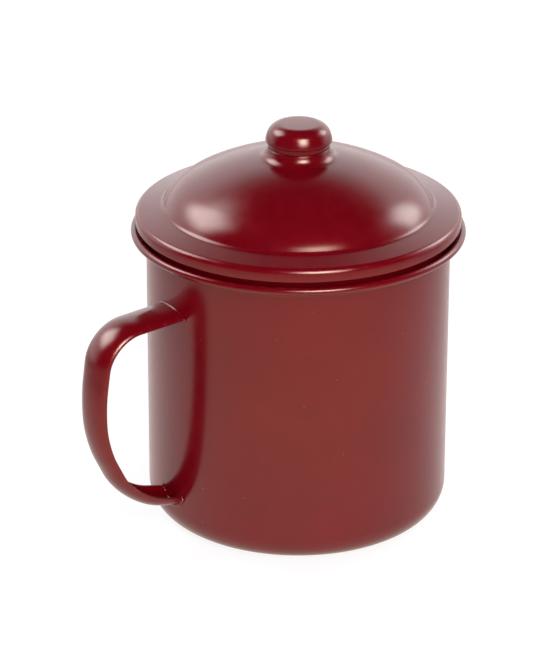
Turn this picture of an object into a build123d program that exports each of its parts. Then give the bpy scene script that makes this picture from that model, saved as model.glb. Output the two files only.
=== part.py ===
from build123d import *
from math import cos, radians, sin, tan
import os

os.makedirs("parts", exist_ok=True)

# A lidded mug of painted sheet steel: a drawn cup with a rolled rim, a pressed strap handle welded on, and a domed
# lid with a pressed knob. The origin is on the cup's axis at the underside of its base. The handle points to -X.

# Cup
sheet = 0.6
wall_radius = 50.0
rim_height = 99.0
heel_radius = 9.8
rim_flare = 3.7
bead_radius = 1.3
flare_angle = 45.0
flare_bend = 3.0
curl_turn = 250.0

# Lid
lid_inset = 1.5
lid_sheet = 0.6
hem_gap = 1.1
hem_width = 2.5
hem_height = 4.6
flange_width = 8.85
flange_fall = 1.8
flange_bend = 1.9
hem_bend = 1.0
seat_clearance = 0.3
plug_clearance = 0.5
plug_length = 2.5
dome_height = 17.55
dome_crown_slope = 29.5
dome_foot_slope = 60.0
dome_foot_bend = 2.4
neck_radius = 10.2
neck_height = 2.45
neck_flare = 0.7
neck_bend = 3.5
neck_edge = 0.65

# Knob
knob_radius = 11.05
knob_sheet = 0.8
cap_height = 6.1
cap_taper = 0.35
cap_shoulder_width = 2.05
cap_shoulder_height = 4.1
cap_top_bend = 4.4
cap_side_bend = 9.0
cap_edge = 0.6
groove_height = 1.7
groove_depth = 0.5
cup_height = 4.0

# Screw that holds the knob
screw_radius = 2.0
screw_clearance = 0.2
screw_end = 1.0
screw_head_radius = 4.0
screw_head_height = 2.4
screw_head_round = 1.2
recess_length = 4.6
recess_width = 1.0
recess_depth = 1.2
washer_radius = 4.6
washer_thickness = 0.8
nut_width = 7.0
nut_height = 3.2

# Handle
strap_thickness = 1.0
strap_width_top = 15.4
strap_width_bottom = 12.0
strap_depth_top = 2.6
strap_depth_bottom = 4.2
handle_drop = 18.6
handle_rise = 15.5
arm_reach = 25.6
arm_fall = 2.0
arm_bend_run = 10.3
grip_reach = 28.7
grip_length = 14.4
grip_lift = 0.85
grip_bend_run = 6.3
heel_reach = 27.6
heel_bend_run = 6.7
foot_reach = 16.9
foot_rise = 4.6
foot_bend_run = 11.0
root_sink = 2.0
weld_leg = 0.7


# Inner face of the cup, from the axis over the floor and the wall to the rolled rim
inner_radius = wall_radius - sheet
bead_centre = wall_radius + rim_flare
rim_radius = bead_centre + bead_radius
lean = radians(flare_angle)
flare_top = (bead_centre - bead_radius * cos(lean), rim_height + bead_radius * sin(lean))
flare_start = flare_top[1] - (flare_top[0] - inner_radius) / tan(lean)

with BuildPart() as mug_shell:
    with BuildSketch(Plane.XZ):
        with BuildLine():
            face = FilletPolyline(
                (0, sheet),
                (inner_radius, sheet),
                (inner_radius, flare_start),
                flare_top,
                radius=[heel_radius - sheet, flare_bend],
            )
            JernArc(start=face @ 1, tangent=face % 1, radius=bead_radius, arc_size=-curl_turn)
            offset(amount=sheet, side=Side.RIGHT)
        make_face()
    revolve(axis=Axis.Z)
mug_shell.part.label = "mug_shell"
export_step(mug_shell.part, "parts/mug_shell.step")


# Handle path along the strap's two lips, from the wall near the rim down to the wall near the base. Each bend is
# given by the length that it takes from the straight runs on both its sides.
root = root_sink - wall_radius
handle_top = rim_height - handle_drop
grip_middle = (handle_top + handle_rise) / 2 + grip_lift
corners = [
    (root, handle_top),
    (-wall_radius - arm_reach, handle_top - arm_fall),
    (-wall_radius - grip_reach, grip_middle + grip_length / 2),
    (-wall_radius - heel_reach, grip_middle - grip_length / 2),
    (-wall_radius - foot_reach, handle_rise + foot_rise),
    (root, handle_rise),
]
bend_runs = [arm_bend_run, grip_bend_run, heel_bend_run, foot_bend_run]
bends = []
for before, corner, after, run in zip(corners, corners[1:], corners[2:], bend_runs):
    turn = (Vector(corner) - Vector(before)).get_angle(Vector(after) - Vector(corner))
    bends.append(run / tan(radians(turn) / 2))

with BuildLine(Plane.XZ) as spine:
    FilletPolyline(*corners, radius=bends)


def strap_section(along, width, depth, grow=0.0):
    """Half an ellipse of sheet, square to the path and open towards the cup, or the same with its outline grown."""
    across = Plane(origin=spine.line @ along, x_dir=(0, -1, 0), z_dir=spine.line % along)
    inset = strap_thickness + grow
    with BuildSketch(across) as section:
        with BuildLine():
            outer = EllipticalCenterArc((0, 0), width / 2 + grow, depth + grow, arc_size=180)
            inner = EllipticalCenterArc((0, 0), width / 2 - inset, depth - inset, arc_size=180)
            Line(outer @ 0, inner @ 0)
            Line(outer @ 1, inner @ 1)
        make_face()
        if grow > 0:
            lip = (width - strap_thickness) / 2
            with Locations((lip, 0), (-lip, 0)):
                Rectangle(strap_thickness + 2 * grow, 2 * grow)
    return section.sketch


top_end = (0, strap_width_top, strap_depth_top)
bottom_end = (1, strap_width_bottom, strap_depth_bottom)

with BuildPart() as handle_strap:
    sweep(sections=[strap_section(*top_end), strap_section(*bottom_end)], path=spine.line, multisection=True)
    with BuildSketch(Plane.XY):
        Circle(wall_radius)
    extrude(amount=rim_height, mode=Mode.SUBTRACT)
handle_strap.part.label = "handle_strap"
export_step(handle_strap.part, "parts/handle_strap.step")


def root_weld(end):
    """Weld bead round one end of the strap, on the outside of the cup's wall."""
    outward = (spine.line % end[0]) * (1 - 2 * end[0])
    with BuildPart() as weld:
        extrude(strap_section(*end, grow=weld_leg), amount=2 * root_sink, dir=outward)
        with BuildSketch(Plane.XY):
            Circle(wall_radius + weld_leg)
        extrude(amount=rim_height, mode=Mode.INTERSECT)
        with BuildSketch(Plane.XY):
            Circle(wall_radius)
        extrude(amount=rim_height, mode=Mode.SUBTRACT)
        add(handle_strap.part, mode=Mode.SUBTRACT)
    return weld.part


handle_weld_upper = root_weld(top_end)
handle_weld_upper.label = "handle_weld_upper"
export_step(handle_weld_upper, "parts/handle_weld_upper.step")

handle_weld_lower = root_weld(bottom_end)
handle_weld_lower.label = "handle_weld_lower"
export_step(handle_weld_lower, "parts/handle_weld_lower.step")


# Outer face of the lid, from the screw hole over the neck, dome, flange and hem to the plug inside the rim
lid_radius = rim_radius - lid_inset
seat_radius = lid_radius - hem_width
hem_bottom = rim_height + bead_radius + hem_gap
flange_edge = hem_bottom + hem_height
flange_root = flange_edge + flange_fall
dome_top = flange_root + dome_height
neck_top = dome_top + neck_height
plug_radius = inner_radius - plug_clearance
seat_gap = seat_clearance / cos(lean)
seat_top = flare_start + (seat_radius + seat_gap - inner_radius) / tan(lean)
seat_bottom = flare_start + (plug_radius + seat_gap - inner_radius) / tan(lean)

# The dome is a wide crown arc down to the crown's slope, and then a tighter shoulder arc down to the foot's slope.
# Their two radii are those that span the dome's height and its radius at the foot.
foot_radius = lid_radius - flange_width
crown_slope = radians(dome_crown_slope)
foot_slope = radians(dome_foot_slope)
crown_run = sin(crown_slope)
crown_fall = 1 - cos(crown_slope)
shoulder_run = sin(foot_slope) - crown_run
shoulder_fall = 1 - cos(foot_slope) - crown_fall
spread = crown_run * shoulder_fall - crown_fall * shoulder_run
crown_radius = (foot_radius * shoulder_fall - dome_height * shoulder_run) / spread
shoulder_radius = (dome_height * crown_run - foot_radius * crown_fall) / spread
dome_turn = (crown_radius * crown_run, dome_top - crown_radius * crown_fall)
neck_foot_radius = neck_radius + neck_flare
neck_foot = (neck_foot_radius, dome_top - crown_radius + (crown_radius**2 - neck_foot_radius**2) ** 0.5)

screw_hole = screw_radius + screw_clearance

with BuildPart() as lid_shell:
    with BuildSketch(Plane.XZ):
        with BuildLine() as skin:
            Polyline((screw_hole, neck_top), (neck_radius, neck_top), neck_foot)
            RadiusArc(neck_foot, dome_turn, crown_radius)
            RadiusArc(dome_turn, (foot_radius, flange_root), shoulder_radius)
            Polyline(
                (foot_radius, flange_root),
                (lid_radius, flange_edge),
                (lid_radius, hem_bottom),
                (seat_radius, hem_bottom),
                (seat_radius, seat_top),
                (plug_radius, seat_bottom),
                (plug_radius, seat_bottom - plug_length),
            )
            for corner, bend in [
                ((neck_radius, neck_top), neck_edge),
                (neck_foot, neck_bend),
                ((foot_radius, flange_root), dome_foot_bend),
                ((lid_radius, flange_edge), flange_bend),
                ((lid_radius, hem_bottom), hem_bend),
                ((seat_radius, hem_bottom), hem_bend),
                ((seat_radius, seat_top), hem_bend),
                ((plug_radius, seat_bottom), hem_bend),
            ]:
                fillet(skin.vertices().sort_by_distance(corner)[0], bend)
            offset(amount=lid_sheet, side=Side.RIGHT)
        make_face()
    revolve(axis=Axis.Z)
lid_shell.part.label = "lid_shell"
export_step(lid_shell.part, "parts/lid_shell.step")


# Knob: a pressed cap crimped on a cup that stands on the lid's neck
cap_bottom = neck_top + groove_height
cap_top = cap_bottom + cap_height
cup_radius = neck_radius - groove_depth

with BuildPart() as knob_cap:
    with BuildSketch(Plane.XZ):
        with BuildLine():
            FilletPolyline(
                (0, cap_top),
                (knob_radius - cap_shoulder_width, cap_top),
                (knob_radius - cap_taper, cap_top - cap_shoulder_height),
                (knob_radius, cap_bottom),
                (cup_radius, cap_bottom),
                radius=[cap_top_bend, cap_side_bend, cap_edge],
            )
            offset(amount=knob_sheet, side=Side.RIGHT)
        make_face()
    revolve(axis=Axis.Z)
knob_cap.part.label = "knob_cap"
export_step(knob_cap.part, "parts/knob_cap.step")

with BuildPart() as knob_cup:
    with BuildSketch(Plane.XY.offset(neck_top)):
        Circle(cup_radius)
    extrude(amount=cup_height)
    with BuildSketch(Plane.XY.offset(neck_top + knob_sheet)):
        Circle(cup_radius - knob_sheet)
    extrude(amount=cup_height, mode=Mode.SUBTRACT)
    with BuildSketch(Plane.XY.offset(neck_top)):
        Circle(screw_hole)
    extrude(amount=knob_sheet, mode=Mode.SUBTRACT)
knob_cup.part.label = "knob_cup"
export_step(knob_cup.part, "parts/knob_cup.step")


# Fixing inside: a nut in the cup, and a washer and a screw from inside the lid
nut_bottom = neck_top + knob_sheet
washer_bottom = neck_top - lid_sheet - washer_thickness

with BuildPart() as knob_nut:
    with BuildSketch(Plane.XY.offset(nut_bottom)):
        RegularPolygon(radius=nut_width / 2, side_count=6, major_radius=False)
        Circle(screw_radius, mode=Mode.SUBTRACT)
    extrude(amount=nut_height)
knob_nut.part.label = "knob_nut"
export_step(knob_nut.part, "parts/knob_nut.step")

with BuildPart() as knob_washer:
    with BuildSketch(Plane.XY.offset(washer_bottom)):
        Circle(washer_radius)
        Circle(screw_hole, mode=Mode.SUBTRACT)
    extrude(amount=washer_thickness)
knob_washer.part.label = "knob_washer"
export_step(knob_washer.part, "parts/knob_washer.step")

with BuildPart() as knob_screw:
    with BuildSketch(Plane.XY.offset(washer_bottom)):
        Circle(screw_head_radius)
    extrude(amount=-screw_head_height)
    fillet(knob_screw.edges().group_by(Axis.Z)[0], screw_head_round)
    with BuildSketch(Plane.XY.offset(washer_bottom)):
        Circle(screw_radius)
    extrude(amount=nut_bottom + nut_height + screw_end - washer_bottom)
    with BuildSketch(Plane.XY.offset(washer_bottom - screw_head_height)):
        Rectangle(recess_length, recess_width)
        Rectangle(recess_width, recess_length)
    extrude(amount=recess_depth, mode=Mode.SUBTRACT)
knob_screw.part.label = "knob_screw"
export_step(knob_screw.part, "parts/knob_screw.step")
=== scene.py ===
import bmesh
import bpy
from math import asin, atan, cos, degrees, hypot, pi, radians, sin, sqrt, tan
from mathutils import Matrix, Vector, noise


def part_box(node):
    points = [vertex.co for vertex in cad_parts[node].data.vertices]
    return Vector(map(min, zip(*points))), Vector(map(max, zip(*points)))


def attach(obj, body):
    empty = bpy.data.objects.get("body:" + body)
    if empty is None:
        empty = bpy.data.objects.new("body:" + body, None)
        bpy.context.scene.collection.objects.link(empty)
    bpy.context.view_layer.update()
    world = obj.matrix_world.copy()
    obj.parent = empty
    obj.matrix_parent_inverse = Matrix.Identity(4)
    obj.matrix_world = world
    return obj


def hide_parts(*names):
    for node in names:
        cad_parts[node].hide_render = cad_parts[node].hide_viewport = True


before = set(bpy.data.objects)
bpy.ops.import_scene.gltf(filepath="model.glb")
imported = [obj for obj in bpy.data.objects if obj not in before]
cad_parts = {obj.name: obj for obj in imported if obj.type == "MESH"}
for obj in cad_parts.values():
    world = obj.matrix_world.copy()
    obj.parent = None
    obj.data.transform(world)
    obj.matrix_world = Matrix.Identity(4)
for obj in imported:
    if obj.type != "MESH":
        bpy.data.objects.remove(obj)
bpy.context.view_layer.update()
mm = 0.001

# Sizes that the lid, the rim and the knob share, read from the frame in millimetres
cupBox = [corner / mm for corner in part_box("mug_shell")]
lidBox = [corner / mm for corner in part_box("lid_shell")]
capBox = [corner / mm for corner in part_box("knob_cap")]
knobCupBox = [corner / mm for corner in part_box("knob_cup")]
rimTop, rimRadius = cupBox[1].z, cupBox[1].x
lidRadius, neckTop = lidBox[1].x, lidBox[1].z
print("frame loaded,", len(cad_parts), "nodes")


# Camera, first, because it frames everything else

cameraView = {
    # angles in degrees, and lengths in metres apart from the sensor's millimetres
    "azimuth": -34.2,
    "elevation": 24.3,
    "distance": 1.112,
    "lookedAt": Vector((0, 0, 0.050)),
    "lookedAtPixel": (297.7, 363.6),
    "imageSize": (550, 672),
    "focalPixels": 3323.8,
    "roll": 0.34,
    "sensorWidth": 36,
    "clip": (0.05, 50),
}


def towards(azimuth, elevation):
    # unit vector from the cup to a place round it: azimuth 0 is on the -Y side, and grows towards +X
    turn, lift = radians(azimuth), radians(elevation)
    return Vector((sin(turn) * cos(lift), -cos(turn) * cos(lift), sin(lift)))


def makeCamera(view):
    back = towards(view["azimuth"], view["elevation"])
    width, height = view["imageSize"]
    acrossPixels = view["lookedAtPixel"][0] - width / 2
    downPixels = view["lookedAtPixel"][1] - height / 2
    aim = (-back).to_track_quat("-Z", "Y").to_matrix()
    aim = aim @ Matrix.Rotation(atan(acrossPixels / view["focalPixels"]), 3, "Y")
    aim = aim @ Matrix.Rotation(atan(downPixels / view["focalPixels"]), 3, "X")
    aim = aim @ Matrix.Rotation(radians(view["roll"]), 3, "Z")
    data = bpy.data.cameras.new("photoCamera")
    data.sensor_width = view["sensorWidth"]
    data.lens = view["focalPixels"] * data.sensor_width / height
    data.clip_start, data.clip_end = view["clip"]
    camera = bpy.data.objects.new("photoCamera", data)
    camera.matrix_world = Matrix.Translation(view["lookedAt"] + back * view["distance"]) @ aim.to_4x4()
    bpy.context.scene.collection.objects.link(camera)
    bpy.context.scene.camera = camera


makeCamera(cameraView)
print("camera made")


# Shader graphs

class Wire:
    # A socket that Python's operators work on: each of them adds the Math node that it stands for

    def __init__(self, tree, socket):
        self.tree = tree
        self.socket = socket

    def node(self, kind, settings=None, inputs=None, output=0):
        made = self.tree.nodes.new("ShaderNode" + kind)
        for name, value in (settings or {}).items():
            setattr(made, name, value)
        for name, value in (inputs or {}).items():
            if isinstance(value, Wire):
                self.tree.links.new(value.socket, made.inputs[name])
            else:
                made.inputs[name].default_value = value
        return Wire(self.tree, made.outputs[output])

    def output(self, name):
        # another output of the node that this one comes from
        return Wire(self.tree, self.socket.node.outputs[name])

    def maths(self, operation, *values):
        return self.node("Math", {"operation": operation}, dict(enumerate(values)))

    def __add__(self, other):
        return self.maths("ADD", self, other)

    def __sub__(self, other):
        return self.maths("SUBTRACT", self, other)

    def __rsub__(self, other):
        return self.maths("SUBTRACT", other, self)

    def __mul__(self, other):
        return self.maths("MULTIPLY", self, other)

    def __truediv__(self, other):
        return self.maths("DIVIDE", self, other)

    def __abs__(self):
        return self.maths("ABSOLUTE", self)

    __radd__, __rmul__ = __add__, __mul__

    def ease(self, low, high):
        # 0 at low, 1 at high, smooth between them
        ends = {"Value": self, "From Min": low, "From Max": high}
        return self.node("MapRange", {"interpolation_type": "SMOOTHSTEP"}, ends)

    def along(self, axis):
        return self.node("VectorMath", {"operation": "DOT_PRODUCT"}, {0: self, 1: axis}, "Value")

    def plus(self, other):
        return self.node("VectorMath", {"operation": "ADD"}, {0: self, 1: other})

    def scaled(self, vector, factor):
        return self.node("VectorMath", {"operation": "SCALE"}, {0: vector, "Scale": factor})

    def blend(self, colour, other, share):
        # colours go through Mix, because a Math node would turn them grey
        return self.node("Mix", {"data_type": "RGBA"}, {0: share, 6: colour, 7: other}, 2)

    def mixedWith(self, other, share):
        return self.blend(self, other, share)


class Finish:
    # A material under construction, with the object's own coordinates in metres

    def __init__(self, name):
        self.material = bpy.data.materials.new(name)
        self.material.use_nodes = True
        self.tree = self.material.node_tree
        self.shader = self.tree.nodes["Principled BSDF"]
        self.start = Wire(self.tree, None)
        self.place = self.start.node("TexCoord", output="Object")
        axes = self.start.node("SeparateXYZ", {}, {0: self.place})
        self.y, self.z = axes.output("Y"), axes.output("Z")

    def noise(self, scale, detail, roughness=0.5, stretch=None):
        place = self.place
        if stretch:
            place = self.start.node("Mapping", {}, {"Vector": place, "Scale": stretch})
        inputs = {"Vector": place, "Scale": scale, "Detail": detail, "Roughness": roughness}
        return self.start.node("TexNoise", {}, inputs)

    def patches(self, shown, **settings):
        # 0 where the noise is below the shown range, and 1 above it
        return self.noise(**settings).ease(*shown)

    def specks(self, scale, size, share, core=0.6, step=0.01):
        # 1 inside small dots that only this share of the cells hold, fading out from their core
        cell = self.start.node("TexVoronoi", {}, {"Vector": self.place, "Scale": scale})
        chosen = self.start.node("SeparateColor", {}, {0: cell.output("Color")}).ease(1 - share, 1 - share + step)
        return chosen * (1 - cell.ease(size * core, size))

    def set(self, **values):
        # Base_Color stands for the socket Base Color
        for name, value in values.items():
            socket = self.shader.inputs[name.replace("_", " ")]
            if isinstance(value, Wire):
                self.tree.links.new(value.socket, socket)
            else:
                socket.default_value = value

    def bump(self, height, distance=1.0):
        self.set(Normal=self.start.node("Bump", {}, {"Height": height, "Distance": distance}))


paint = {
    # noise scales are per metre, and heights and depths are in metres
    "colour": (0.153, 0.0010, 0.0052, 1),
    "deepColour": (0.125, 0.0008, 0.0042, 1),
    "deepShare": 0.6,
    "clouds": {"scale": 38, "detail": 3, "shown": (0.35, 0.68)},
    "warmColour": (0.172, 0.0022, 0.0070, 1),
    "warmShare": 0.25,
    "mottle": {"scale": 240, "detail": 3, "roughness": 0.6, "shown": (0.30, 0.72)},
    "roughness": 0.20,
    "roughnessSpread": 0.05,
    "ior": 1.5,
    "peel": {"scale": 520, "detail": 2, "roughness": 0.45},
    "peelHeight": 0.0000030,
    "grain": {"scale": 2600, "detail": 1},
    "grainHeight": 0.0000006,
    "dust": {"scale": 420, "size": 0.09, "share": 0.04},
    "dustColour": (0.42, 0.17, 0.15, 1),
    "dustTint": 0.4,
    "dustRoughness": 0.2,
    "dustHeight": 0.000012,
    "scuffColour": (0.26, 0.085, 0.075, 1),
    "scuffTint": 0.55,
    "scuffRoughness": 0.12,
    "scuffDepth": 0.000008,
}


def satinPaint(name, settings=None, wear=None):
    # Sprayed satin paint: cloudy depth of colour, orange peel, a fine grain, a few specks of dust and soft wear
    use = {**paint, **(settings or {})}
    finish = Finish(name)
    clouds, mottle = finish.patches(**use["clouds"]), finish.patches(**use["mottle"])
    colour = finish.start.blend(use["colour"], use["deepColour"], clouds * use["deepShare"])
    colour = colour.mixedWith(use["warmColour"], mottle * use["warmShare"])
    dust = finish.specks(**use["dust"])
    colour = colour.mixedWith(use["dustColour"], dust * use["dustTint"])
    smoothest = use["roughness"] - use["roughnessSpread"] / 2
    rough = mottle * use["roughnessSpread"] + smoothest + dust * use["dustRoughness"]
    peel = finish.noise(**use["peel"]) * use["peelHeight"]
    grain = finish.noise(**use["grain"]) * use["grainHeight"]
    relief = peel + grain + dust * use["dustHeight"]
    if wear:
        worn = wear(finish)
        colour = colour.mixedWith(use["scuffColour"], worn * use["scuffTint"])
        rough = rough + worn * use["scuffRoughness"]
        relief = relief - worn * use["scuffDepth"]
    finish.set(Base_Color=colour, Roughness=rough, IOR=use["ior"])
    finish.bump(relief)
    return finish.material


# Mesh helpers: every piece starts as a wire profile, in millimetres, in the plane through the axis

def lineFrom(bm, vert, points):
    # carries the wire on from vert through the points, and gives the new vertices
    verts = [bm.verts.new((x * mm, 0, z * mm)) for x, z in points]
    for near, far in zip([vert] + verts, verts):
        bm.edges.new((near, far))
    return verts


def wireThrough(bm, points):
    x, z = points[0]
    start = bm.verts.new((x * mm, 0, z * mm))
    return [start] + lineFrom(bm, start, points[1:])


def arcFrom(bm, vert, centre, turn, steps):
    # carries the wire on from vert round centre, and gives its new end
    made = bmesh.ops.spin(bm, geom=[vert], cent=(centre[0] * mm, 0, centre[1] * mm), axis=(0, 1, 0),
                          angle=radians(turn), steps=steps, use_duplicate=False)
    return next(item for item in made["geom_last"] if isinstance(item, bmesh.types.BMVert))


def bevelVert(bm, vert, offset, segments):
    bmesh.ops.bevel(bm, geom=[vert], offset=offset, offset_type="OFFSET", segments=segments,
                    profile=0.5, affect="VERTICES", material=-1, clamp_overlap=False)


def roundCorner(bm, point, radius, segments):
    # rounds the wire's corner nearest to point
    target = Vector((point[0] * mm, 0, point[1] * mm))
    vert = min(bm.verts, key=lambda v: (v.co - target).length)
    before, after = (edge.other_vert(vert).co for edge in vert.link_edges)
    turn = (vert.co - before).angle(after - vert.co)
    bevelVert(bm, vert, radius * mm * tan(turn / 2), segments)


def spinRound(bm, steps, merge=0.002):
    bmesh.ops.spin(bm, geom=bm.verts[:] + bm.edges[:], cent=(0, 0, 0), axis=(0, 0, 1), angle=2 * pi,
                   steps=steps, use_merge=True)
    bmesh.ops.remove_doubles(bm, verts=bm.verts, dist=merge * mm)
    bmesh.ops.recalc_face_normals(bm, faces=bm.faces)


def sweepAlong(bm, edges, places):
    # carries a section, drawn at the origin, through each of the places in turn
    verts = list({vert for edge in edges for vert in edge.verts})
    bmesh.ops.transform(bm, matrix=places[0], verts=verts)
    for before, after in zip(places, places[1:]):
        made = bmesh.ops.extrude_edge_only(bm, edges=edges)["geom"]
        edges = [item for item in made if isinstance(item, bmesh.types.BMEdge) and len(item.link_faces) == 1]
        verts = [item for item in made if isinstance(item, bmesh.types.BMVert)]
        edges = [edge for edge in edges if edge.verts[0] in verts and edge.verts[1] in verts]
        bmesh.ops.transform(bm, matrix=after @ before.inverted(), verts=verts)


def finishPiece(bm, name, body, node, material, sheet=0, lipRound=0, sharpAngle=50):
    # makes the object: a sheet gets its thickness behind the faces, and a lip rounds that sheet's edges
    mesh = bpy.data.meshes.new(name)
    bm.to_mesh(mesh)
    bm.free()
    piece = bpy.data.objects.new(name, mesh)
    bpy.context.scene.collection.objects.link(piece)
    if sheet:
        wall = piece.modifiers.new("sheet", "SOLIDIFY")
        wall.thickness, wall.offset, wall.use_even_offset = sheet * mm, -1, True
    if lipRound:
        lip = piece.modifiers.new("lip", "BEVEL")
        lip.width, lip.segments = lipRound * mm, 3
        lip.limit_method, lip.angle_limit = "ANGLE", radians(sharpAngle)
    if piece.modifiers:
        shaped = bpy.data.meshes.new_from_object(piece.evaluated_get(bpy.context.evaluated_depsgraph_get()))
        piece.modifiers.clear()
        piece.data = shaped
        shaped.name = name
    piece.data.shade_smooth()
    piece.data.set_sharp_from_angle(angle=radians(sharpAngle))
    piece.data.materials.clear()
    piece.data.materials.append(material)
    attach(piece, body)
    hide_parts(node)
    return piece


def printSize(label, piece):
    print(label, [tuple(round(v / mm, 2) for v in corner) for corner in piece.bound_box][::6])


# Cup

cup = {
    # lengths in millimetres and angles in degrees, and a bend is its radius and its segments
    "sheet": 0.6,
    "heelRadius": 9.8,
    "heelSegments": 12,
    "rimFlare": 3.7,
    "flareAngle": 45,
    "flareBend": (3, 5),
    "beadRadius": 1.3,
    "curlTurn": 250,
    "curlSteps": 22,
    "steps": 160,
    # wear fades over these heights, in metres for the foot and millimetres below the rim's top
    "footFade": (0.0001, 0.0012),
    "footRubs": {"scale": 900, "detail": 4, "roughness": 0.7, "shown": (0.45, 0.62)},
    "rimFade": 0.25,
    "rimRubs": {"scale": 420, "detail": 4, "roughness": 0.7, "shown": (0.56, 0.70)},
    "rimWear": 0.5,
}
wallRadius = rimRadius - cup["beadRadius"] - cup["rimFlare"]
cupInside = wallRadius - cup["sheet"]
beadCentre = (wallRadius + cup["rimFlare"], rimTop - cup["beadRadius"])
lean = radians(cup["flareAngle"])
flareTop = (beadCentre[0] - cup["beadRadius"] * cos(lean), beadCentre[1] + cup["beadRadius"] * sin(lean))
flareStart = flareTop[1] - (flareTop[0] - cupInside) / tan(lean)


def cupWear(finish):
    # rubbed paint on the ring that the cup stands on, and faint rubs on top of the rim
    foot = (1 - finish.z.ease(*cup["footFade"])) * finish.patches(**cup["footRubs"])
    rim = finish.z.ease((rimTop - cup["rimFade"]) * mm, rimTop * mm) * finish.patches(**cup["rimRubs"])
    return foot + rim * cup["rimWear"]


def makeCup():
    bm = bmesh.new()
    floorLevel = cup["sheet"]
    wire = wireThrough(bm, [(0, floorLevel), (cupInside, floorLevel), (cupInside, flareStart), flareTop])
    arcFrom(bm, wire[-1], beadCentre, cup["curlTurn"], cup["curlSteps"])
    roundCorner(bm, (cupInside, floorLevel), cup["heelRadius"] - cup["sheet"], cup["heelSegments"])
    roundCorner(bm, (cupInside, flareStart), *cup["flareBend"])
    spinRound(bm, cup["steps"])
    return finishPiece(bm, "mugBody", "mug", "mug_shell", satinPaint("cupPaint", None, cupWear),
                       sheet=cup["sheet"])


printSize("cup", makeCup())


# Lid

lid = {
    # as for the cup
    "sheet": 0.6,
    "hemGap": 1.1,
    "hemWidth": 2.5,
    "hemHeight": 4.6,
    "hemBend": (1.0, 5),
    "flangeWidth": 8.85,
    "flangeFall": 1.8,
    "flangeBend": (1.9, 9),
    "seatClearance": 0.3,
    "plugClearance": 0.5,
    "plugLength": 2.5,
    "domeHeight": 17.55,
    "domeSteps": 12,
    "crownSlope": 29.5,  # where the crown's arc meets the shoulder's
    "crownStart": 4,  # from the neck's foot to where the crown's arc starts
    "footSlope": 60,
    "footBend": (2.4, 7),
    "footTurn": 5,  # left straight at the end of the shoulder's arc, for the foot's bend
    "neckRadius": 10.2,
    "neckFlare": 0.7,
    "neckBend": (3.5, 10),
    "neckEdge": (0.25, 5),
    "screwHole": 2.2,
    "steps": 180,
}


def makeLid():
    hemBottom = rimTop + lid["hemGap"]
    flangeEdge = hemBottom + lid["hemHeight"]
    flangeRoot = flangeEdge + lid["flangeFall"]
    domeTop = flangeRoot + lid["domeHeight"]
    seatRadius = lidRadius - lid["hemWidth"]
    plugRadius = cupInside - lid["plugClearance"]
    seatGap = lid["seatClearance"] / cos(lean)
    seatTop = flareStart + (seatRadius + seatGap - cupInside) / tan(lean)
    seatBottom = flareStart + (plugRadius + seatGap - cupInside) / tan(lean)

    # a wide crown arc, then a tighter shoulder arc that meets the flange at the foot's slope
    footRadius = lidRadius - lid["flangeWidth"]
    crownRun, crownFall = sin(radians(lid["crownSlope"])), 1 - cos(radians(lid["crownSlope"]))
    shoulderRun = sin(radians(lid["footSlope"])) - crownRun
    shoulderFall = 1 - cos(radians(lid["footSlope"])) - crownFall
    spread = crownRun * shoulderFall - crownFall * shoulderRun
    crown = (footRadius * shoulderFall - lid["domeHeight"] * shoulderRun) / spread
    shoulder = (lid["domeHeight"] * crownRun - footRadius * crownFall) / spread
    crownCentre = domeTop - crown
    shoulderCentre = ((crown - shoulder) * crownRun, crownCentre + (crown - shoulder) * (1 - crownFall))

    def onCrown(radius):
        return radius, crownCentre + sqrt(crown ** 2 - radius ** 2)

    neckEdge = (lid["neckRadius"], neckTop)
    neckFoot = onCrown(lid["neckRadius"] + lid["neckFlare"])
    arcStart = onCrown(neckFoot[0] + lid["crownStart"])
    crownTurn = lid["crownSlope"] - degrees(asin(arcStart[0] / crown))
    shoulderTurn = lid["footSlope"] - lid["crownSlope"] - lid["footTurn"]
    flange = [(footRadius, flangeRoot), (lidRadius, flangeEdge)]
    hem = [(lidRadius, hemBottom), (seatRadius, hemBottom), (seatRadius, seatTop), (plugRadius, seatBottom)]

    bm = bmesh.new()
    wire = wireThrough(bm, [(lid["screwHole"], neckTop), neckEdge, neckFoot, arcStart])
    end = arcFrom(bm, wire[-1], (0, crownCentre), crownTurn, lid["domeSteps"])
    end = arcFrom(bm, end, shoulderCentre, shoulderTurn, lid["domeSteps"])
    lineFrom(bm, end, flange + hem + [(plugRadius, seatBottom - lid["plugLength"])])
    for corner, bend in zip([neckEdge, neckFoot] + flange, ["neckEdge", "neckBend", "footBend", "flangeBend"]):
        roundCorner(bm, corner, *lid[bend])
    for corner in hem:
        roundCorner(bm, corner, *lid["hemBend"])
    spinRound(bm, lid["steps"])
    return finishPiece(bm, "lidBody", "lid", "lid_shell", satinPaint("lidPaint"), sheet=lid["sheet"])


printSize("lid", makeLid())


# Knob

knob = {
    # as for the cup
    "sheet": 0.8,
    "radius": 11.05,
    "taper": 0.35,
    "shoulderWidth": 2.05,
    "shoulderHeight": 4.1,
    "topBend": (4.4, 9),
    "sideBend": (9.0, 8),
    "edgeBend": (0.6, 4),
    "steps": 96,
}


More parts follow.
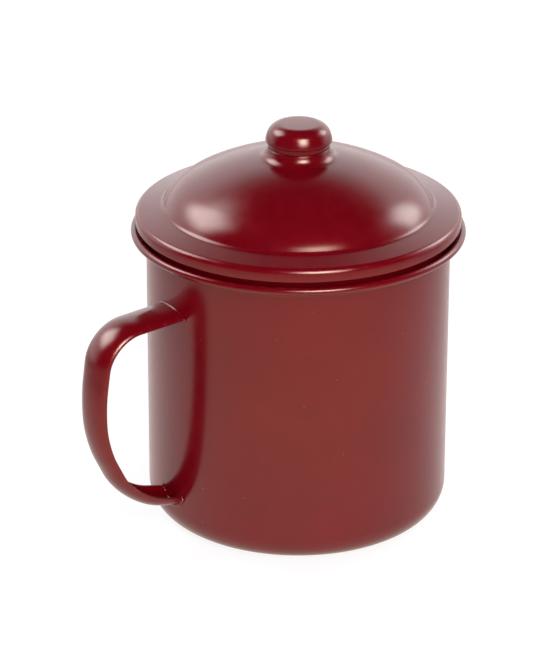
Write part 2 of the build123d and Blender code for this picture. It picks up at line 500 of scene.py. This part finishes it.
def makeKnob():
    top, bottom, throat = capBox[1].z, capBox[0].z, knobCupBox[1].x
    bm = bmesh.new()
    corners = [
        (knob["radius"] - knob["shoulderWidth"], top),
        (knob["radius"] - knob["taper"], top - knob["shoulderHeight"]),
        (knob["radius"], bottom),
    ]
    wireThrough(bm, [(0, top)] + corners + [(throat, bottom)])
    for corner, bend in zip(corners, ["topBend", "sideBend", "edgeBend"]):
        roundCorner(bm, corner, *knob[bend])
    spinRound(bm, knob["steps"])
    cap = finishPiece(bm, "knobCap", "lid", "knob_cap", satinPaint("knobPaint"), sheet=knob["sheet"])

    # the cup under the cap shows as the dark groove
    bm = bmesh.new()
    wireThrough(bm, [(lid["screwHole"], neckTop), (throat, neckTop), (throat, knobCupBox[1].z)])
    spinRound(bm, knob["steps"])
    finishPiece(bm, "knobCup", "lid", "knob_cup", satinPaint("knobCupPaint"), sheet=knob["sheet"])
    return cap


printSize("knob", makeKnob())


# Handle

handle = {
    # as for the cup, but a bend is how far it reaches along both of its sides, and its segments
    "sheet": 1.0,
    "widthTop": 15.4,
    "widthBottom": 12.0,
    "depthTop": 2.6,
    "depthBottom": 4.2,
    "sectionSteps": 24,
    "drop": 18.6,
    "rise": 15.5,
    "rootDepth": 2,  # inside the wall's outer face
    "armReach": 25.6,
    "armFall": 2.0,
    "armBend": (10.3, 14),
    "gripReach": 28.7,
    "gripLength": 14.4,
    "gripLift": 0.85,
    "gripBend": (6.3, 8),
    "heelReach": 27.6,
    "heelBend": (6.7, 8),
    "footReach": 16.9,
    "footRise": 4.6,
    "footBend": (11.0, 12),
    "longRun": 3.5,
    "longRunCuts": 5,
    "lipRound": 0.22,
    "wallSink": 0.25,
    "merge": 0.02,
    # wear on the lips fades over this distance from the handle's middle plane, in metres
    "lipFade": (0.0050, 0.0072),
    "lipRubs": {"scale": 520, "detail": 4, "roughness": 0.7, "shown": (0.54, 0.70)},
    "lipWear": 0.35,
}


def handlePath():
    # points in metres from the wall near the rim, out and down to the wall near the base
    top = rimTop - cup["beadRadius"] - handle["drop"]
    middle = (top + handle["rise"]) / 2 + handle["gripLift"]
    half = handle["gripLength"] / 2
    root = wallRadius - handle["rootDepth"]
    corners = [
        (-root, top),
        (-wallRadius - handle["armReach"], top - handle["armFall"]),
        (-wallRadius - handle["gripReach"], middle + half),
        (-wallRadius - handle["heelReach"], middle - half),
        (-wallRadius - handle["footReach"], handle["rise"] + handle["footRise"]),
        (-root, handle["rise"]),
    ]
    bm = bmesh.new()
    wire = wireThrough(bm, corners)
    for corner, bend in zip(wire[1:], ["armBend", "gripBend", "heelBend", "footBend"]):
        run, segments = handle[bend]
        bevelVert(bm, corner, run * mm, segments)
    longEdges = [edge for edge in bm.edges if edge.calc_length() > handle["longRun"] * mm]
    bmesh.ops.subdivide_edges(bm, edges=longEdges, cuts=handle["longRunCuts"])
    vert = max((vert for vert in bm.verts if len(vert.link_edges) == 1), key=lambda v: v.co.z)
    points, edge = [vert.co.copy()], None
    while True:
        onward = [link for link in vert.link_edges if link is not edge]
        if not onward:
            break
        edge = onward[0]
        vert = edge.other_vert(vert)
        points.append(vert.co.copy())
    bm.free()
    return points


def directionAt(points, i):
    # the way the path runs at one of its points, from the neighbours on both sides
    return (points[min(i + 1, len(points) - 1)] - points[max(i - 1, 0)]).normalized()


def strapPlaces(points):
    # a matrix for each point of the path, which turns and sizes the unit half circle into the strap's section there
    lengths = [0]
    for near, far in zip(points, points[1:]):
        lengths.append(lengths[-1] + (far - near).length)
    places = []
    for i, point in enumerate(points):
        along = directionAt(points, i)
        outward = along.cross(Vector((0, -1, 0)))
        share = lengths[i] / lengths[-1]
        halfWidth = (handle["widthTop"] * (1 - share) + handle["widthBottom"] * share) / 2 * mm
        depth = (handle["depthTop"] * (1 - share) + handle["depthBottom"] * share) * mm
        turned = Matrix((Vector((0, -1, 0)) * halfWidth, outward * depth, along)).transposed()
        places.append(Matrix.Translation(point) @ turned.to_4x4())
    return places


def halfCircle(bm, steps, spare=0):
    # unit half circle from +X over +Y to -X, drawn on a little past both ends by the spare angle
    start = bm.verts.new((cos(spare), -sin(spare), 0))
    bmesh.ops.spin(bm, geom=[start], cent=(0, 0, 0), axis=(0, 0, 1), angle=pi + 2 * spare, steps=steps)
    return bm.edges[:]


def handleWear(finish):
    # paint polished thin along the two lips, where fingers and hooks rub it
    return abs(finish.y).ease(*handle["lipFade"]) * finish.patches(**handle["lipRubs"]) * handle["lipWear"]


def makeHandle(points):
    bm = bmesh.new()
    sweepAlong(bm, halfCircle(bm, handle["sectionSteps"]), strapPlaces(points))
    # both ends stop just inside the wall's sheet
    seat = (wallRadius - handle["wallSink"]) * mm
    halfway = (points[0].z + points[-1].z) / 2
    for vert in bm.verts:
        if hypot(vert.co.x, vert.co.y) < seat:
            slope = points[1] - points[0] if vert.co.z > halfway else points[-2] - points[-1]
            shift = -sqrt(seat ** 2 - vert.co.y ** 2) - vert.co.x
            vert.co.x += shift
            vert.co.z += shift * slope.z / slope.x
    bmesh.ops.remove_doubles(bm, verts=bm.verts, dist=handle["merge"] * mm)
    bmesh.ops.recalc_face_normals(bm, faces=bm.faces)
    outermost = min(bm.faces, key=lambda face: face.calc_center_median().x)
    if outermost.normal.x > 0:
        bmesh.ops.reverse_faces(bm, faces=bm.faces)
    return finishPiece(bm, "handleStrap", "mug", "handle_strap",
                       satinPaint("handlePaint", None, handleWear),
                       sheet=handle["sheet"], lipRound=handle["lipRound"])


handlePoints = handlePath()
printSize("handle", makeHandle(handlePoints))


# Weld beads round the handle's two ends

weld = {
    # lengths in millimetres, and the end sizes are shares of the bead's radius, from each end inwards
    "beadRadius": 0.62,
    "innerBeadRadius": 0.55,
    "beadSides": 10,
    "clearance": 0.1,
    "overrun": 8,  # degrees past both ends of the outer half circle
    "lumps": 0.16,
    "lumpSpacing": 1.7,
    "endSizes": (0.05, 0.62, 0.90, 1.45, 1.45, 1.1),
    "sink": 0.10,
    "steps": 44,
    "sharpAngle": 80,
    "paint": {"roughness": 0.13, "peelHeight": 0.000008},
}


def beadRound(bm, place, halfWidth, depth, radius, spare=0):
    # one lumpy bead on the wall, along the half ellipse that the strap's end draws there
    half = bmesh.new()
    halfCircle(half, weld["steps"], spare)
    points = []
    for vert in half.verts:
        y = -vert.co.x * halfWidth * mm
        x = -sqrt(((wallRadius + weld["sink"]) * mm) ** 2 - y ** 2)
        z = vert.co.y * depth * mm * place["outward"] + place["point"].z + (x - place["point"].x) * place["slope"]
        points.append(Vector((x, y, z)))
    half.free()
    circle = bmesh.ops.create_circle(bm, segments=weld["beadSides"], radius=1)["verts"]
    edges = list({edge for vert in circle for edge in vert.link_edges})
    places = []
    for i, point in enumerate(points):
        along = directionAt(points, i)
        away = Vector((point.x, point.y, 0)).normalized()
        side = along.cross(away).normalized()
        away = side.cross(along)
        size = radius * mm * (1 + noise.noise(point / (weld["lumpSpacing"] * mm)) * weld["lumps"])
        fromEnd = min(i, len(points) - 1 - i)
        if fromEnd < len(weld["endSizes"]):
            size *= weld["endSizes"][fromEnd]
        turned = Matrix((side * size, away * size, along)).transposed()
        places.append(Matrix.Translation(point) @ turned.to_4x4())
    sweepAlong(bm, edges, places)


def makeWeld(name, node, upper):
    ends = handlePoints[:2] if upper else handlePoints[:-3:-1]
    run = ends[1] - ends[0]
    shift = -wallRadius * mm - ends[0].x
    place = {"point": ends[0] + run * (shift / run.x), "slope": run.z / run.x, "outward": 1 if upper else -1}
    halfWidth = (handle["widthTop"] if upper else handle["widthBottom"]) / 2
    depth = handle["depthTop"] if upper else handle["depthBottom"]
    outer, inner = weld["clearance"], handle["sheet"] + weld["clearance"]
    bm = bmesh.new()
    beadRound(bm, place, halfWidth + outer, depth + outer, weld["beadRadius"], radians(weld["overrun"]))
    beadRound(bm, place, halfWidth - inner, depth - inner, weld["innerBeadRadius"])
    bmesh.ops.recalc_face_normals(bm, faces=bm.faces)
    finishPiece(bm, name, "mug", node, satinPaint(name + "Paint", weld["paint"]),
                sharpAngle=weld["sharpAngle"])


makeWeld("upperWeld", "handle_weld_upper", True)
makeWeld("lowerWeld", "handle_weld_lower", False)
print("welds made")


# Screw, washer and nut keep their CAD shape and get bright zinc plate

zinc = {
    # each fixing's scratches are drawn out along one axis
    "stretches": {"knob_screw": (1, 0.15, 1), "knob_washer": (0.15, 1, 1), "knob_nut": (1, 1, 0.2)},
    "colour": (0.56, 0.57, 0.59, 1),
    "warmColour": (0.58, 0.55, 0.47, 1),
    "warmShare": 0.5,
    "clouds": {"scale": 420, "detail": 3, "shown": (0.38, 0.66)},
    "cloudHeight": 0.000006,
    "grimeColour": (0.16, 0.14, 0.12, 1),
    "grimeShare": 0.35,
    "grime": {"scale": 900, "detail": 5, "roughness": 0.75, "shown": (0.58, 0.74)},
    "scratches": {"scale": 3200, "detail": 4, "roughness": 0.7, "shown": (0.46, 0.60)},
    "scratchHeight": 0.000004,
    "roughness": 0.30,
    "scratchRoughness": 0.12,
    "grimeRoughness": 0.2,
}


def zincPlate(name, stretch):
    finish = Finish(name)
    clouds, grime = finish.patches(**zinc["clouds"]), finish.patches(**zinc["grime"])
    scratches = finish.patches(**zinc["scratches"], stretch=stretch)
    colour = finish.start.blend(zinc["colour"], zinc["warmColour"], clouds * zinc["warmShare"])
    colour = colour.mixedWith(zinc["grimeColour"], grime * zinc["grimeShare"])
    rough = scratches * zinc["scratchRoughness"] + grime * zinc["grimeRoughness"] + zinc["roughness"]
    finish.set(Base_Color=colour, Metallic=1.0, Roughness=rough)
    finish.bump(scratches * zinc["scratchHeight"] + clouds * zinc["cloudHeight"])
    return finish.material


for node, stretch in zinc["stretches"].items():
    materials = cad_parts[node].data.materials
    if len(materials) == 0:
        materials.append(None)
    materials[0] = zincPlate(node + "Zinc", stretch)
print("fixings plated")


# Floor, background and lamps

studio = {
    # lengths in metres and angles in degrees: lamps' azimuths count from the studio's front, positive to the right
    "frontAzimuth": -34.2,
    "floorRadius": 4.0,
    "floorSides": 96,
    "floorDrop": 0.00002,
    "floorColour": (0.90, 0.90, 0.90, 1),
    "floorShade": (0.88, 0.88, 0.885, 1),
    "floorShadeShare": 0.3,
    "floorTone": {"scale": 90, "detail": 3, "shown": (0.2, 0.8)},
    "floorRoughness": 0.9,
    "floorFibre": {"scale": 1500, "detail": 2},
    "floorFibreHeight": 0.00001,
    "ownLight": 0.74,  # how much of the floor's look is its own light, the rest being lit paper
    "glow": 1.15,
    "mirrorColour": (1.0, 0.93, 0.55, 1),
    "sideColour": (0.95, 0.82, 0.79, 1),
    "mirrorReach": (0.10, 0.45),  # distance over which the mirrored floor darkens, down to mirrorFar
    "mirrorFar": 0.12,
    "mirrorFront": (-0.02, 0.14),  # how far in front it turns from sideColour into mirrorColour
    "mirrorBack": (-0.30, -0.08),  # how far behind it stays light
    "skyForDiffuse": 0.30,  # even light on everything
    "backdrop": 1.65,
    "backdropTop": (0.50, 0.82),  # sines of the heights between which the mirrored backdrop ends
    "backdropEdge": (-0.15, 0.40),  # and of the angles at its sides
    "firstReflection": (1.2, 1.8),
    "lampTarget": Vector((0, 0, 0.08)),
    "lampDistance": 1.7,
}


def compass(azimuth, elevation):
    # unit vector from the cup to a place in the studio, and the level vector across that one
    turn = radians(studio["frontAzimuth"] + azimuth)
    return towards(studio["frontAzimuth"] + azimuth, elevation), Vector((cos(turn), sin(turn), 0))


def makeFloor():
    bm = bmesh.new()
    bmesh.ops.create_circle(bm, cap_ends=True, radius=studio["floorRadius"], segments=studio["floorSides"])
    mesh = bpy.data.meshes.new("floor")
    bm.to_mesh(mesh)
    bm.free()
    floor = bpy.data.objects.new("floor", mesh)
    floor.location.z = -studio["floorDrop"]
    bpy.context.scene.collection.objects.link(floor)
    finish = Finish("floorPaper")
    tone = finish.patches(**studio["floorTone"]) * studio["floorShadeShare"]
    colour = finish.start.blend(studio["floorColour"], studio["floorShade"], tone)
    finish.set(Base_Color=colour, Roughness=studio["floorRoughness"])
    finish.bump(finish.noise(**studio["floorFibre"]), studio["floorFibreHeight"])
    # the paper is part lit, which keeps the object's shadow, and part white by its own light; mirrored, it is warmer
    # in front, and darker away from the object except behind it
    rays = finish.start.node("LightPath")
    mirrored = rays.output("Is Glossy Ray")
    seen = rays.output("Is Camera Ray") + mirrored + rays.output("Is Transmission Ray")
    away = finish.start.node("VectorMath", {"operation": "LENGTH"}, {0: finish.place}, "Value")
    ahead = finish.place.along(compass(0, 0)[0])
    fall = away.ease(*studio["mirrorReach"]) * ahead.ease(*studio["mirrorBack"]) * (1 - studio["mirrorFar"])
    tint = finish.start.blend(studio["sideColour"], studio["mirrorColour"], ahead.ease(*studio["mirrorFront"]))
    white = finish.start.blend((1, 1, 1, 1), tint, mirrored)
    glow = finish.start.node("Emission", {}, {"Color": white, "Strength": (1 - mirrored * fall) * studio["glow"]})
    lit = Wire(finish.tree, finish.shader.outputs[0])
    mixed = finish.start.node("MixShader", {}, {0: seen * studio["ownLight"], 1: lit, 2: glow})
    finish.tree.links.new(mixed.socket, finish.tree.nodes["Material Output"].inputs[0])
    mesh.materials.append(finish.material)


softboxes = {
    # place and half of the width and height in degrees, half of the soft edge's width as a tangent, and strength
    "front": {"azimuth": 17, "elevation": 30, "spread": (12, 15), "soft": 0.17, "glow": 23,
              "colour": (1, 0.92, 0.74)},
    "left": {"azimuth": -114, "elevation": 41, "spread": (16, 13), "soft": 0.15, "glow": 8.6,
             "colour": (1, 0.96, 0.92)},
    "right": {"azimuth": 124, "elevation": 28, "spread": (11, 12), "soft": 0.13, "glow": 6.4,
              "colour": (1, 0.97, 0.95)},
}


def softboxMask(direction, box):
    # 1 where the direction meets the softbox's rectangle, with a soft edge
    middle, across = compass(box["azimuth"], box["elevation"])
    ahead = direction.along(middle)
    mask = ahead.ease(0, 0.05)  # nothing on the far side
    for axis, spread in zip([across, middle.cross(across)], box["spread"]):
        offset = direction.along(axis) / ahead
        edge = tan(radians(spread))
        mask = mask * (1 - abs(offset).ease(edge - box["soft"], edge + box["soft"]))
    return mask


def makeWorld():
    # mirrored, the studio is a white backdrop behind the object and three softboxes in the dark round it
    world = bpy.data.worlds.new("studio")
    bpy.context.scene.world = world
    world.use_nodes = True
    start = Wire(world.node_tree, None)
    rays = start.node("LightPath")
    mirrored = rays.output("Is Glossy Ray")
    seen = rays.output("Is Camera Ray") + rays.output("Is Transmission Ray")
    direction = start.node("TexCoord", output="Generated")
    height = start.node("SeparateXYZ", {}, {0: direction}, "Z")
    behind = direction.along(compass(180, 0)[0])
    sweep = (1 - height.ease(*studio["backdropTop"])) * behind.ease(*studio["backdropEdge"])
    light = start.scaled((1, 1, 1), sweep * studio["backdrop"])
    # a softbox only shows in a first reflection, so that two pieces don't light each other up with it
    once = 1 - rays.output("Glossy Depth").ease(*studio["firstReflection"])
    for box in softboxes.values():
        light = light.plus(start.scaled(box["colour"], softboxMask(direction, box) * once * box["glow"]))
    plain = seen + (1 - mirrored - seen) * studio["skyForDiffuse"]
    light = start.scaled(light, mirrored).plus(start.scaled((1, 1, 1), plain))
    world.node_tree.links.new(light.socket, world.node_tree.nodes["Background"].inputs[0])


lamps = {
    # area lamps near the softboxes' places, which light the paint's colour and aren't mirrored
    "front": {"azimuth": 9, "elevation": 24, "size": (0.85, 1.40), "watts": 25},
    "left": {"azimuth": -117, "elevation": 38, "size": (0.80, 0.75), "watts": 10},
    "right": {"azimuth": 124, "elevation": 29, "size": (0.70, 0.75), "watts": 8},
}


def makeLamp(name, lamp):
    back = compass(lamp["azimuth"], lamp["elevation"])[0]
    data = bpy.data.lights.new(name, "AREA")
    data.shape = "RECTANGLE"
    data.size, data.size_y = lamp["size"]
    data.energy = lamp["watts"]
    light = bpy.data.objects.new(name, data)
    place = studio["lampTarget"] + back * studio["lampDistance"]
    light.matrix_world = Matrix.Translation(place) @ back.to_track_quat("Z", "Y").to_matrix().to_4x4()
    light.visible_glossy = False
    bpy.context.scene.collection.objects.link(light)


makeFloor()
makeWorld()
for side, lamp in lamps.items():
    makeLamp(side + "Lamp", lamp)
bpy.context.scene.view_settings.view_transform = "Standard"
print("studio lit")
